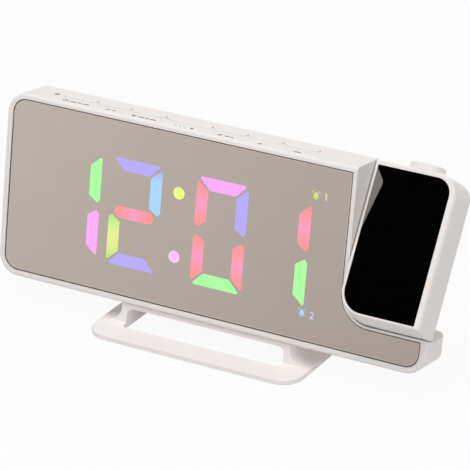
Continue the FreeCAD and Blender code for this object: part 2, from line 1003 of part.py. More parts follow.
def make_lens_cell():
    tube = rod_z(cell_radius, wing_middle, optics_y, cell_top() - cell_length, cell_top())
    lens_seat = cell_top() - lens_depth_in_cell - lens_thickness
    upper = rod_z(cell_radius - cell_wall, wing_middle, optics_y, lens_seat, cell_top())
    lower = rod_z(cell_radius - 1.5 * cell_wall, wing_middle, optics_y, cell_top() - cell_length, lens_seat)
    return tube.cut(upper).cut(lower)


def lens_solid(radius, thickness, base, bulge):
    curve_radius = (radius * radius + bulge * bulge) / (2 * bulge)
    ball = Part.makeSphere(curve_radius, Vector(wing_middle, optics_y, base + thickness - curve_radius))
    return rod_z(radius, wing_middle, optics_y, base, base + thickness).common(ball)


def make_projection_lens():
    base = cell_top() - lens_depth_in_cell - lens_thickness
    return lens_solid(cell_radius - cell_wall, lens_thickness, base, 0.9)


def make_barrel():
    tube = rod_z(barrel_outer(), wing_middle, optics_y, barrel_bottom, barrel_top())
    upper_start = cell_top() - cell_length - 2 * cell_travel
    narrow = barrel_inner() - 0.8
    tube = tube.cut(rod_z(barrel_inner(), wing_middle, optics_y, upper_start, barrel_top()))
    tube = tube.cut(rod_z(narrow, wing_middle, optics_y, slide_height, upper_start))
    return tube.cut(rod_z(barrel_inner(), wing_middle, optics_y, barrel_bottom, slide_height))


def make_slide():
    return rod_z(barrel_inner(), wing_middle, optics_y, slide_height - slide_thickness, slide_height)


def make_condenser():
    return lens_solid(barrel_inner(), condenser_thickness, condenser_height, 1.3)


def make_led_board():
    half = led_board_width / 2
    return box(
        wing_middle - half, wing_middle + half,
        face_thickness + face_backing + 0.3, housing_depth - wing_wall,
        led_board_bottom(), led_board_bottom() + board_thickness,
    )


def make_led():
    base = led_board_bottom() + board_thickness
    flange = rod_z(led_radius + led_flange, wing_middle, optics_y, base, base + led_flange_height)
    dome = rod_z(led_radius, wing_middle, optics_y, base, base + led_height)
    crown = [edge for edge in dome.Edges if edge.BoundBox.ZMin > base + led_flange_height]
    return dome.makeFillet(led_radius - led_flange, crown).fuse(flange)


# Stand
def make_stand():
    half_foot = foot_width / 2
    half_depth = foot_depth / 2
    base = pad_proud
    top = base + foot_thickness
    foot = prism_z(rectangle(-half_foot, half_foot, -half_depth, half_depth, foot_corner_radius), base, top)
    outline_edges = [edge for edge in foot.Edges if edge.BoundBox.ZLength < 0.01]
    foot = foot.makeFillet(foot_edge, outline_edges)

    outer = neck_inner_width / 2 + cheek
    roof_top = 2 * hinge_height
    neck = prism_y(
        [
            (-outer - cheek_flare, top - 0.5),
            (outer + cheek_flare, top - 0.5),
            (outer + cheek_flare, top + 0.01),
            (outer, top + 0.01, cheek_flare - 0.05),
            (outer, roof_top),
            (-outer, roof_top),
            (-outer, top + 0.01, cheek_flare - 0.05),
            (-outer - cheek_flare, top + 0.01),
        ],
        -half_depth,
        half_depth,
    )
    leaned = stood(box(-outer - 10, outer + 10, neck_front, neck_back, -40, -neck_gap))
    neck = neck.common(leaned)

    lugs = []
    for side in (-1, 1):
        x = side * hinge_spread
        lug = prism_x(
            [
                (hinge_y - lug_radius, -neck_gap - 1),
                (hinge_y + lug_radius - 0.9, -neck_gap - 1),
                (hinge_y + lug_radius, hinge_z),
                (hinge_y + lug_radius, hinge_z + lug_radius, lug_radius - 0.01),
                (hinge_y - lug_radius, hinge_z + lug_radius, lug_radius - 0.01),
                (hinge_y - lug_radius, hinge_z),
            ],
            x - lug_width / 2,
            x + lug_width / 2,
        )
        lugs.append(stood(lug.cut(rod_x(pin_radius, x - lug_width, x + lug_width, hinge_y, hinge_z))))

    half_opening = neck_inner_width / 2
    passage = stood(prism_y(
        [
            (-half_opening, -60),
            (half_opening, -60),
            (half_opening, -neck_gap - neck_roof, neck_opening_radius),
            (-half_opening, -neck_gap - neck_roof, neck_opening_radius),
        ],
        -60,
        60,
    ))
    front = -half_depth + foot_bar
    back = half_depth - foot_back_bar
    foot_hole = prism_z(rectangle(-half_opening, half_opening, front, back, foot_opening_radius), -1, 40)
    opening = passage.common(foot_hole)

    stand = foot.fuse(neck).cut(opening)
    for lug in lugs:
        stand = stand.fuse(lug)
    for pad in pad_places():
        stand = stand.cut(rod_z(pad_radius, pad[0], pad[1], 0, pad_thickness))
    return stand


def pad_places():
    x = foot_width / 2 - pad_inset
    y = foot_depth / 2 - pad_inset
    return [(-x, -y), (x, -y), (x, y), (-x, y)]


def make_pads():
    return group([rod_z(pad_radius, x, y, 0, pad_thickness) for x, y in pad_places()])


def make_hinge_pins():
    reach = lug_width / 2 + lug_side_gap + knuckle_width
    middles = (-hinge_spread, hinge_spread)
    return group([rod_x(pin_radius, x - reach, x + reach, hinge_y, hinge_z) for x in middles])


# Write every piece
housing = housing_form()
save("front_frame", stood(make_front_frame(housing)))
save("rear_housing", stood(make_rear_housing(housing)))
save("mirror_panel", stood(make_mirror()))
save("light_mask", stood(make_light_mask()))
save("segment_lenses", stood(group(light_cells(mirror_back, mirror_back + lens_depth))))
save("display_board", stood(display_plate(mask_back, display_board_back, board_top_gap)))
save("display_leds", stood(make_display_leds()))
save("key_board", stood(make_key_board()))
save("key_switches", stood(make_key_switches()))
save("light_sensor", stood(make_light_sensor()))
for name, left, right in key_spans():
    save("key_" + name, stood(make_key(left, right)))
save("main_board", stood(make_main_board()))
save("main_chips", stood(make_main_chips()))
save("usb_port", stood(make_usb_port()))
save("power_inlet", stood(make_power_inlet()))
save("coin_cell", stood(make_coin_cell()))
save("cell_holder", stood(make_cell_holder()))
save("battery_door", stood(make_battery_door()))
save("battery_screw", stood(make_battery_screw()))
save("speaker", stood(make_speaker()))
seat = housing_depth - screw_recess
screws = [make_screw(x, z, mirror_back + 1.5, seat) for x, z in housing_screw_places]
save("housing_screws", stood(group(screws)))
save("pivot_bush", stood(make_pivot_bush()))
save("pivot_spring", stood(make_pivot_spring()))

wing = wing_form(0)
hollow = wing_form(wing_wall)
save("projector_front", turned(make_wing_front(wing, hollow)))
save("projector_rear", turned(make_wing_rear(wing, hollow)))
save("projector_face", turned(make_face()))
save("projector_axle", turned(make_axle()))
save("focus_ring", turned(make_focus_ring()))
save("lens_cell", turned(make_lens_cell()))
save("projection_lens", turned(make_projection_lens()))
save("optics_barrel", turned(make_barrel()))
save("digit_slide", turned(make_slide()))
save("condenser_lens", turned(make_condenser()))
save("projector_board", turned(make_led_board()))
save("projector_led", turned(make_led()))
wing_screws = [make_screw(x, z, face_thickness + face_backing + 1, seat) for x, z in wing_screw_places]
save("projector_screws", turned(group(wing_screws)))

save("stand_frame", make_stand())
save("foot_pads", make_pads())
save("hinge_pins", stood(make_hinge_pins()))
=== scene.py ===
import math

import bmesh
import bpy
from mathutils import Matrix, Vector


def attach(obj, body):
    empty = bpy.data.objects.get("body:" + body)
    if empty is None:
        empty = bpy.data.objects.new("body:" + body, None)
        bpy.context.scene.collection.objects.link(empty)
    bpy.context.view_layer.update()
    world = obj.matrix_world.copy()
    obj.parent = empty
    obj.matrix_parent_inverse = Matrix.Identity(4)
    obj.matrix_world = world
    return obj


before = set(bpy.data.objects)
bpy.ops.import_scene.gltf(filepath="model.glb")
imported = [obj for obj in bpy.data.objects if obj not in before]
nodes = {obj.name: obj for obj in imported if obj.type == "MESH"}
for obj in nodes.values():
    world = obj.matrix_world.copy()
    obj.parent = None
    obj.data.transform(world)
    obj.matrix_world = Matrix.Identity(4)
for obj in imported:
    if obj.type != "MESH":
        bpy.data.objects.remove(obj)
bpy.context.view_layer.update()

mm = 0.001
print("frame loaded:", len(nodes), "nodes")


def linear(red, green, blue, alpha=1.0):
    # written sRGB, 0 to 255, as the linear colour a socket takes
    values = []
    for channel in (red, green, blue):
        c = channel / 255
        values.append(c / 12.92 if c <= 0.04045 else ((c + 0.055) / 1.055) ** 2.4)
    return (*values, alpha)


# Camera: the photograph's place and lens
cameraView = {
    "target": (0.0, -13.975, 40.49),  # mm, a point on the mirror's middle
    "distance": 1201.4,
    "aside": -11.34,
    "above": -7.14,
    "azimuth": 28.28,
    "elevation": 24.32,
    "roll": 0.87,
    "focalWidths": 3152.1 / 470,
}


def turnedAbout(axis, degrees):
    return Matrix.Rotation(math.radians(degrees), 3, axis)


def makeCamera(view):
    turn = turnedAbout("X", view["elevation"]) @ turnedAbout("Z", -view["azimuth"])
    offset = Vector((-view["aside"], -view["distance"], -view["above"]))
    place = (Vector(view["target"]) + turn.transposed() @ offset) * mm
    roll = math.radians(view["roll"])
    right = math.cos(roll) * turn.row[0] + math.sin(roll) * turn.row[2]
    up = math.cos(roll) * turn.row[2] - math.sin(roll) * turn.row[0]
    back = -turn.row[1]
    data = bpy.data.cameras.new("photoCamera")
    data.sensor_width = 36
    data.sensor_fit = "HORIZONTAL"
    data.lens = 36 * view["focalWidths"]
    data.clip_start = 0.05
    data.clip_end = 20
    camera = bpy.data.objects.new("photoCamera", data)
    bpy.context.scene.collection.objects.link(camera)
    camera.matrix_world = Matrix((
        (right.x, up.x, back.x, place.x),
        (right.y, up.y, back.y, place.y),
        (right.z, up.z, back.z, place.z),
        (0, 0, 0, 1),
    ))
    bpy.context.scene.camera = camera


makeCamera(cameraView)
print("camera placed")


# Shader maths: a socket that adds its own Math nodes
class Flow:
    def __init__(self, tree, socket):
        self.tree = tree
        self.socket = socket

    def node(self, kind, settings=None, values=None, output=0):
        made = self.tree.nodes.new(kind)
        for name, value in (settings or {}).items():
            setattr(made, name, value)
        for name, value in (values or {}).items():
            socket = made.inputs[name]
            if isinstance(value, Flow):
                self.tree.links.new(value.socket, socket)
            else:
                socket.default_value = value
        return Flow(self.tree, made.outputs[output])

    def maths(self, operation, other=None, flipped=False, clamp=False):
        first, second = (other, self) if flipped else (self, other)
        values = {0: first}
        if second is not None:
            values[1] = second
        return self.node("ShaderNodeMath", {"operation": operation, "use_clamp": clamp}, values)

    def __add__(self, other):
        return self.maths("ADD", other)

    def __radd__(self, other):
        return self.maths("ADD", other, flipped=True)

    def __sub__(self, other):
        return self.maths("SUBTRACT", other)

    def __rsub__(self, other):
        return self.maths("SUBTRACT", other, flipped=True)

    def __mul__(self, other):
        return self.maths("MULTIPLY", other)

    def __rmul__(self, other):
        return self.maths("MULTIPLY", other, flipped=True)

    def __truediv__(self, other):
        return self.maths("DIVIDE", other)

    def __rtruediv__(self, other):
        return self.maths("DIVIDE", other, flipped=True)

    def clamped(self):
        return self.maths("ADD", 0.0, clamp=True)


def between(share, first, second):
    # a colour between two, by a value from 0 to 1; the Mix node's colour sockets are 6, 7 and out 2
    return share.node("ShaderNodeMix", {"data_type": "RGBA"}, {0: share, 6: first, 7: second}, output=2)


def spread(share, limits):
    # a number between two limits, by a value from 0 to 1
    low, high = limits
    return share * (high - low) + low


def noise(place, scale, detail=2.0, roughness=0.5):
    return place.node("ShaderNodeTexNoise", {}, {
        "Vector": place, "Scale": scale, "Detail": detail, "Roughness": roughness,
    })


def bumped(height, depth, strength=1.0):
    # a normal from a height of 0 to 1 that stands for depth in metres
    return height.node("ShaderNodeBump", {}, {"Height": height, "Distance": depth, "Strength": strength})


class Finish:
    # a material with one Principled shader, fed by its constants and then by Flow sockets
    def __init__(self, name, constants):
        self.material = bpy.data.materials.new(name)
        self.material.use_nodes = True
        self.tree = self.material.node_tree
        self.shader = self.tree.nodes["Principled BSDF"]
        for socket, value in constants.items():
            self.shader.inputs[socket].default_value = value
        coordinates = self.tree.nodes.new("ShaderNodeTexCoord")
        self.place = Flow(self.tree, coordinates.outputs["Object"])

    def feed(self, socket, flow):
        self.tree.links.new(flow.socket, self.shader.inputs[socket])

    def axis(self, name):
        parts = self.tree.nodes.new("ShaderNodeSeparateXYZ")
        self.tree.links.new(self.place.socket, parts.inputs[0])
        return Flow(self.tree, parts.outputs[name])

    def attribute(self, name):
        made = self.tree.nodes.new("ShaderNodeAttribute")
        made.attribute_name = name
        return Flow(self.tree, made.outputs["Color"])


# Moulded white plastic, with the fine spark-eroded grain of its tool
whitePlastic = {
    "pale": linear(244, 240, 237),
    "warm": linear(241, 234, 230),
    "clouds": 22.0,  # all patterns are per metre
    "specks": 900.0,
    "grain": 2600.0,
    "grainDepth": 0.00001,
    "grainStrength": 0.7,
    "roughness": (0.40, 0.52),
}
standPlastic = {**whitePlastic, "pale": linear(252, 246, 244), "warm": linear(249, 242, 240)}
keyPlastic = {**whitePlastic, "roughness": (0.34, 0.44), "grain": 3400.0}


def makeWhitePlastic(name, values):
    finish = Finish(name, {"IOR": 1.46})
    cloudy = noise(finish.place, values["clouds"], 3.0)
    fine = noise(finish.place, values["grain"], 2.0, 0.6)
    speck = noise(finish.place, values["specks"], 1.0)
    finish.feed("Base Color", between(cloudy, values["pale"], values["warm"]))
    finish.feed("Roughness", spread(speck, values["roughness"]))
    finish.feed("Normal", bumped(fine, values["grainDepth"], values["grainStrength"]))
    return finish.material


# The mirror: a half silvered sheet that lets the lit digits through; over its own tint lies a painted
# reflection, lighter upper left and darker lower right
mirrorSheet = {
    "reflectedUpperLeft": linear(191, 181, 171),
    "reflectedLowerRight": linear(167, 154, 146),
    "across": 0.175,  # metres over which the painted reflection runs
    "slope": (0.62, 0.55),  # rightwards and downwards
    "start": 0.62,
    "clouds": 26.0,
    "mottle": 0.28,
    "smears": 60.0,
    "roughness": (0.03, 0.08),
}


def makeMirrorSheet(values):
    finish = Finish("mirrorSheet", {"Metallic": 1.0})
    rightwards, downwards = values["slope"]
    # the base colour paints a reflection: from the light upper left colour to the dark lower right one
    slant = finish.axis("X") * rightwards - finish.axis("Z") * downwards
    run = (slant / values["across"] + values["start"]).clamped()
    clouds = noise(finish.place, values["clouds"], 4.0, 0.55)
    share = (run + (clouds - 0.5) * values["mottle"]).clamped()
    finish.feed("Base Color", between(share, values["reflectedUpperLeft"], values["reflectedLowerRight"]))
    finish.feed("Roughness", spread(noise(finish.place, values["smears"], 3.0), values["roughness"]))
    return finish.material


# The projector's face: polished smoked acrylic
smokedFace = {
    "dark": linear(4, 4, 4),
    "light": linear(8, 7, 8),
    "shine": linear(255, 247, 238),
    "index": 4.1,
    "clouds": 35.0,
    "smears": 90.0,
    "roughness": (0.015, 0.035),
}


def makeSmokedFace(values):
    finish = Finish("smokedFace", {"IOR": values["index"], "Specular Tint": values["shine"]})
    clouds = noise(finish.place, values["clouds"], 3.0)
    finish.feed("Base Color", between(clouds, values["dark"], values["light"]))
    finish.feed("Roughness", spread(noise(finish.place, values["smears"], 3.0), values["roughness"]))
    return finish.material


# Plain mouldings inside: two colours that it clouds between, roughness, and grain
insideMouldings = {
    "blackMoulding": ((20, 20, 21), (31, 31, 32), (0.49, 0.61), 1800.0),
    "chipMoulding": ((24, 24, 27), (38, 38, 41), (0.42, 0.54), 3200.0),
    "acetal": ((226, 226, 220), (214, 213, 206), (0.30, 0.42), 1400.0),
    "rubberPad": ((205, 203, 198), (190, 188, 183), (0.72, 0.84), 2400.0),
}
mouldingClouds = 180.0
mouldingGrainDepth = 0.000012


def makeMoulding(name, first, second, roughness, grain):
    finish = Finish(name, {"IOR": 1.47})
    clouds = noise(finish.place, mouldingClouds, 3.0)
    fine = noise(finish.place, grain, 2.0)
    finish.feed("Base Color", between(clouds, linear(*first), linear(*second)))
    finish.feed("Roughness", spread(clouds, roughness))
    finish.feed("Normal", bumped(fine, mouldingGrainDepth, 0.6))
    return finish.material


# Turned and pressed steel, brushed along the housing
brushedSteel = {
    "pale": linear(196, 197, 200),
    "dark": linear(158, 160, 165),
    "along": 60.0,
    "lines": 5200.0,
    "lineDepth": 0.000004,
    "roughness": (0.20, 0.36),
}


def makeSteel(values):
    finish = Finish("brushedSteel", {"Metallic": 1.0})
    stretched = finish.place.node("ShaderNodeMapping", {}, {
        "Vector": finish.place, "Scale": (values["along"], values["lines"], values["lines"]),
    })
    lines = noise(stretched, 1.0, 2.0)
    finish.feed("Base Color", between(lines, values["dark"], values["pale"]))
    finish.feed("Roughness", spread(lines, values["roughness"]))
    finish.feed("Normal", bumped(lines, values["lineDepth"], 0.5))
    return finish.material


# Circuit board: solder mask over copper tracks that step round a grid of cells
circuitBoard = {
    "mask": linear(24, 96, 52),
    "track": linear(46, 128, 74),
    "pitch": 420.0,
    "sharpness": 9.0,
    "trackWidth": 0.9,
    "trackDepth": 0.00002,
    "roughness": (0.30, 0.38),
    "coat": 0.3,
}


def makeBoard(values):
    finish = Finish("circuitBoard", {"Coat Roughness": 0.12})
    cells = finish.place.node("ShaderNodeTexVoronoi", {
        "distance": "CHEBYCHEV", "feature": "DISTANCE_TO_EDGE",
    }, {"Vector": finish.place, "Scale": values["pitch"]})
    track = (cells * values["sharpness"] - values["trackWidth"]).clamped()
    finish.feed("Base Color", between(track, values["track"], values["mask"]))
    finish.feed("Roughness", spread(track, values["roughness"]))
    finish.feed("Coat Weight", track * values["coat"])
    finish.feed("Normal", bumped(1.0 - track, values["trackDepth"], 0.5))
    return finish.material


# Clear lenses, frosted segment lenses and the lamps' epoxy
clearLenses = {"index": 1.49, "haze": 400.0, "roughness": (0.005, 0.025)}
frostedLenses = {
    "dull": linear(226, 226, 220),
    "bright": linear(242, 242, 238),
    "haze": 700.0,
    "hazeDepth": 0.00001,
    "roughness": (0.42, 0.57),
}
lampResin = {
    "phosphor": linear(236, 226, 170),
    "resin": linear(250, 246, 226),
    "specks": 650.0,
    "roughness": (0.18, 0.28),
}


def makeClear(values):
    finish = Finish("clearAcrylic", {"Transmission Weight": 1.0, "IOR": values["index"]})
    finish.feed("Roughness", spread(noise(finish.place, values["haze"], 2.0), values["roughness"]))
    return finish.material


def makeFrosted(values):
    finish = Finish("frostedLens", {})
    haze = noise(finish.place, values["haze"], 3.0)
    finish.feed("Base Color", between(haze, values["dull"], values["bright"]))
    finish.feed("Roughness", spread(haze, values["roughness"]))
    finish.feed("Normal", bumped(haze, values["hazeDepth"], 0.5))
    return finish.material


def makeLampEpoxy(values):
    finish = Finish("lampEpoxy", {"Coat Weight": 0.6, "Coat Roughness": 0.05})
    specks = noise(finish.place, values["specks"], 2.0)
    finish.feed("Base Color", between(specks, values["phosphor"], values["resin"]))
    finish.feed("Roughness", spread(specks, values["roughness"]))
    return finish.material


housingWhite = makeWhitePlastic("housingWhite", whitePlastic)
standWhite = makeWhitePlastic("standWhite", standPlastic)
keyWhite = makeWhitePlastic("keyWhite", keyPlastic)
mirrorTintAndPaintedReflection = makeMirrorSheet(mirrorSheet)
faceBlack = makeSmokedFace(smokedFace)
mouldings = {name: makeMoulding(name, *values) for name, values in insideMouldings.items()}
steel = makeSteel(brushedSteel)
boardGreen = makeBoard(circuitBoard)
clearAcrylic = makeClear(clearLenses)
frostedLens = makeFrosted(frostedLenses)
lampEpoxy = makeLampEpoxy(lampResin)

nodeFinishes = {
    "stand_frame": standWhite,
    "front_frame": housingWhite,
    "rear_housing": housingWhite,
    "battery_door": housingWhite,
    "projector_front": housingWhite,
    "projector_rear": housingWhite,
    "focus_ring": housingWhite,
    "mirror_panel": mirrorTintAndPaintedReflection,
    "projector_face": faceBlack,
    "segment_lenses": frostedLens,
    "condenser_lens": clearAcrylic,
    "projection_lens": clearAcrylic,
    "pivot_bush": mouldings["acetal"],
    "projector_axle": mouldings["acetal"],
    "foot_pads": mouldings["rubberPad"],
    "key_switches": mouldings["chipMoulding"],
    "main_chips": mouldings["chipMoulding"],
    "digit_slide": mouldings["chipMoulding"],
}
for name in ("display_board", "key_board", "main_board", "projector_board"):
    nodeFinishes[name] = boardGreen
for name in ("display_leds", "projector_led"):
    nodeFinishes[name] = lampEpoxy
for name in (
    "light_mask", "light_sensor", "power_inlet", "cell_holder", "speaker", "optics_barrel", "lens_cell",
):
    nodeFinishes[name] = mouldings["blackMoulding"]
for name in (
    "hinge_pins", "usb_port", "coin_cell", "battery_screw", "housing_screws", "pivot_spring",
    "projector_screws",
):
    nodeFinishes[name] = steel

for name, part in nodes.items():
    part.data.materials.clear()
    part.data.materials.append(nodeFinishes.get(name, keyWhite))  # the seven keys aren't listed
print("finishes given to", len(nodes), "nodes")


# The housing's own frame: drawn upright, then leaned back about the stand's hinge
housingFrame = {
    "hinge": (14.3, 3.5),  # y and z of the hinge in the upright housing
    "hingeHeight": 12.54,
    "lean": 8.0,
    "mirrorFront": 0.3,
    "top": 74.7,
}
rooted = -0.01  # mm, how deep a plate on a surface reaches into it


def standing(x, y, z):
    # a point of the upright housing, in millimetres, as it stands, in metres
    lean = math.radians(housingFrame["lean"])
    across = y - housingFrame["hinge"][0]
    up = z - housingFrame["hinge"][1]
    placedY = across * math.cos(lean) + up * math.sin(lean)
    placedZ = housingFrame["hingeHeight"] - across * math.sin(lean) + up * math.cos(lean)
    return Vector((x, placedY, placedZ)) * mm


def finishedPiece(form, name, materials, body):
    # the form as an object of its own, facing outwards
    mesh = bpy.data.meshes.new(name)
    bmesh.ops.recalc_face_normals(form, faces=form.faces)
    form.to_mesh(mesh)
    form.free()
    for material in materials:
        mesh.materials.append(material)
    made = bpy.data.objects.new(name, mesh)
    bpy.context.scene.collection.objects.link(made)
    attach(made, body)


def addSlab(form, outline, low, high, place):
    # a closed plate between two depths; place takes (across, up, depth)
    lower = [form.verts.new(place(u, v, low)) for u, v in outline]
    upper = [form.verts.new(place(u, v, high)) for u, v in outline]
    form.faces.new(lower)
    form.faces.new(list(reversed(upper)))
    count = len(outline)
    for i in range(count):
        after = (i + 1) % count
        form.faces.new((lower[i], upper[i], upper[after], lower[after]))
    return lower + upper


def onMirror(u, v, depth):
    return standing(u, housingFrame["mirrorFront"] - depth, v)


# Lit digits behind the mirror, as thin bright plates on its face
digits = {
    "middle": 36.3,  # height of the row's middle
    "width": 22.4,
    "height": 43.2,
    "stroke": 5.0,
    "gap": 0.6,
    "waist": 1.5,  # from the row's middle to an upright stroke's point
    "bar": (-0.25, 17.3),  # middle and length of the middle stroke
    "places": (-60.8, -33.95, 3.55, 30.4),
    "proud": 0.03,
    "slices": 8,
    "colon": (-15.2, 12.8, 2.45),  # across, half spread, radius
}
glowColours = {
    "green": (165, 255, 155),
    "pink": (255, 165, 255),
    "purple": (178, 165, 250),
    "sky": (160, 212, 255),
    "salmon": (255, 140, 132),
    "rose": (255, 150, 190),
    "lime": (190, 228, 118),
    "lemon": (226, 240, 138),
    "leaf": (160, 236, 120),
    "yellow": (235, 255, 120),
    "blush": (255, 190, 255),
}


def segmentOutlines(values):
    # the seven strokes of one digit by name: outline about the digit's middle, and which way it runs
    right = values["width"] / 2
    top = values["height"] / 2
    stroke = values["stroke"]
    gap = values["gap"]
    waist = values["waist"]
    innerU = right - stroke
    innerV = top - stroke
    point = stroke / 4
    strokes = {}
    for level, up in (("bottom", -1), ("top", 1)):
        strokes[level] = ("across", [
            (-right + gap + point, up * top),
            (right - gap - point, up * top),
            (right - gap - point / 2, up * (top - point / 2)),
            (innerU - gap, up * innerV),
            (-innerU + gap, up * innerV),
            (-right + gap + point / 2, up * (top - point / 2)),
        ])
        for name, side in (("Left", -1), ("Right", 1)):
            strokes[level + name] = ("up", [
                (side * right, up * (point + waist)),
                (side * (right - point), up * waist),
                (side * innerU, up * (stroke / 2 + waist)),
                (side * innerU, up * (innerV - gap)),
                (side * (right - point / 2), up * (top - gap - point)),
                (side * right, up * (top - 2 * gap - point)),
            ])
    shift, length = values["bar"]
    strokes["middle"] = ("across", [(u + shift, v) for u, v in pillOutline(length, stroke * 0.96)])
    return strokes


def pillOutline(length, height):
    points = []
    radius = height / 2
    for middle, start in ((length / 2 - radius, -90), (-length / 2 + radius, 90)):
        for step in range(9):
            angle = math.radians(start + step * 22.5)
            points.append((middle + radius * math.cos(angle), radius * math.sin(angle)))
    return points


def discOutline(u, v, radius, count=28):
    turn = math.tau / count
    return [(u + radius * math.cos(i * turn), v + radius * math.sin(i * turn)) for i in range(count)]


def tint(stops, share):
    # the colour at a share of the way through a list of named colours
    place = max(0.0, min(0.9999, share)) * (len(stops) - 1)
    first = int(place)
    if len(stops) == 1:
        return linear(*glowColours[stops[0]])
    low = glowColours[stops[first]]
    high = glowColours[stops[first + 1]]
    part = place - first
    return linear(*(a + (b - a) * part for a, b in zip(low, high)))


# Every lit stroke: digit, stroke, and its colours from left to right or from bottom to top
litStrokes = (
    (0, "topRight", ("green",)),
    (0, "bottomRight", ("pink",)),
    (1, "top", ("purple",)),
    (1, "topRight", ("sky", "sky", "sky", "sky", "purple")),
    (1, "middle", ("salmon", "rose", "salmon")),
    (1, "bottomLeft", ("lime", "lemon", "lemon", "leaf")),
    (1, "bottom", ("purple",)),
    (2, "top", ("pink",)),
    (2, "topLeft", ("salmon", "rose", "salmon")),
    (2, "topRight", ("purple",)),
    (2, "bottomLeft", ("salmon", "rose", "salmon")),
    (2, "bottomRight", ("salmon", "rose", "salmon")),
    (2, "bottom", ("green",)),
    (3, "topRight", ("salmon", "rose", "salmon")),
    (3, "bottomRight", ("green",)),
)


# Their glow: the colour of each stroke, with the lens's fine dots
segmentGlow = {"index": 1.28, "strength": 1.0, "dots": 1500.0, "dotShare": 0.12, "roughness": (0.08, 0.14)}


def makeGlow(values):
    finish = Finish("litSegment", {
        "Base Color": linear(0, 0, 0), "IOR": values["index"], "Emission Strength": values["strength"],
    })
    colour = finish.attribute("glow")
    dots = noise(finish.place, values["dots"], 1.0)
    finish.feed("Emission Color", between(dots * values["dotShare"], colour, linear(255, 255, 255)))
    finish.feed("Roughness", spread(dots, values["roughness"]))
    return finish.material


def makeDigits(values):
    form = bmesh.new()
    colours = form.verts.layers.float_color.new("glow")
    strokes = segmentOutlines(values)
    for digit, stroke, stops in litStrokes:
        way, outline = strokes[stroke]
        middle = values["places"][digit]
        verts = addSlab(
            form, outline, rooted, values["proud"],
            lambda u, v, depth: Vector((u + middle, v + values["middle"], depth)),
        )
        axis = 0 if way == "across" else 1
        reach = [point[axis] for point in outline]
        shift = (middle, values["middle"])[axis]
        start, end = min(reach) + shift, max(reach) + shift
        normal = Vector((1, 0, 0)) if axis == 0 else Vector((0, 1, 0))
        mine = set(verts)
        for cut in range(1, values["slices"]):
            place = start + (end - start) * cut / values["slices"]
            parts = [face for face in form.faces if face.verts[0] in mine]
            edges = {edge for face in parts for edge in face.edges}
            made = bmesh.ops.bisect_plane(
                form, geom=list(mine) + list(edges) + parts, plane_co=normal * place, plane_no=normal,
            )
            mine.update(v for v in made["geom"] if isinstance(v, bmesh.types.BMVert))
            mine.update(v for v in made["geom_cut"] if isinstance(v, bmesh.types.BMVert))
        for vert in mine:
            vert[colours] = tint(stops, (vert.co[axis] - start) / (end - start))
    across, apart, radius = values["colon"]
    for side, colour in ((1, "yellow"), (-1, "blush")):
        dot = addSlab(
            form, discOutline(across, values["middle"] + side * apart, radius), rooted, values["proud"],
            lambda u, v, depth: Vector((u, v, depth)),
        )
        for vert in dot:
            vert[colours] = linear(*glowColours[colour])
    for vert in form.verts:
        vert.co = onMirror(*vert.co)
    finishedPiece(form, "litDigits", [litSegment], "clock")


litSegment = makeGlow(segmentGlow)
makeDigits(digits)
print("lit digits made")


# Alarm marks: a bell and a plain number beside each
alarmMarks = {
    "upper": {"bell": (42.7, 60.5), "number": (47.0, 59.4), "sign": "one",
              "bellColour": (208, 228, 112), "numberColour": (228, 230, 160)},
    "lower": {"bell": (41.2, 13.9), "number": (45.5, 12.2), "sign": "two",
              "bellColour": (150, 215, 255), "numberColour": (214, 205, 250)},
    "bellHeight": 3.3,
    "numberHeight": 2.7,
    "line": 0.42,
    "proud": 0.03,
}


def strokedLine(points, width):
    # the outline of a line of that width through the points
    left, right = [], []
    for i, point in enumerate(points):
        here = Vector(point)
        before = Vector(points[max(i - 1, 0)])
        after = Vector(points[min(i + 1, len(points) - 1)])
        run = (after - before).normalized()
        normal = Vector((-run.y, run.x)) * width / 2
        left.append(tuple(here + normal))
        right.append(tuple(here - normal))
    return left + right[::-1]


def arcPoints(u, v, radius, start, end, count=9):
    points = []
    for i in range(count):
        angle = math.radians(start + (end - start) * i / (count - 1))
        points.append((u + radius * math.cos(angle), v + radius * math.sin(angle)))
    return points


def bellShapes(height):
    # a bell about its middle, with a clapper and a ring of sound each side
    half = height / 2
    body = arcPoints(0, half * 0.28, half * 0.52, 0, 180, 11)
    body += [(-half * 0.62, -half * 0.42), (-half * 0.86, -half * 0.62)]
    body += [(half * 0.86, -half * 0.62), (half * 0.62, -half * 0.42)]
    shapes = [body, discOutline(0, -half * 0.86, half * 0.2, 12)]
    for start, end in ((18, 62), (118, 162)):
        shapes.append(strokedLine(arcPoints(0, half * 0.2, half * 1.02, start, end), half * 0.15))
    return shapes


def numberShapes(sign, height, line):
    width = height * 0.5
    if sign == "one":
        return [strokedLine([(-width * 0.3, height * 0.82), (0.0, height), (0.0, 0.0)], line)]
    curl = arcPoints(0, height - width / 2, width / 2, 165, -40, 9)
    return [
        strokedLine(curl + [(-width / 2, line / 2)], line),
        strokedLine([(-width / 2 - line * 0.3, line / 2), (width / 2, line / 2)], line),
    ]


def makeAlarmMarks(values):
    form = bmesh.new()
    colours = form.verts.layers.float_color.new("glow")
    for name in ("upper", "lower"):
        mark = values[name]
        parts = [(shape, mark["bell"], mark["bellColour"]) for shape in bellShapes(values["bellHeight"])]
        for shape in numberShapes(mark["sign"], values["numberHeight"], values["line"]):
            parts.append((shape, mark["number"], mark["numberColour"]))
        for shape, (across, up), colour in parts:
            verts = addSlab(
                form, shape, rooted, values["proud"],
                lambda u, v, depth: onMirror(u + across, v + up, depth),
            )
            for vert in verts:
                vert[colours] = linear(*colour)
    finishedPiece(form, "alarmMarks", [litSegment], "clock")


makeAlarmMarks(alarmMarks)
print("alarm marks made")
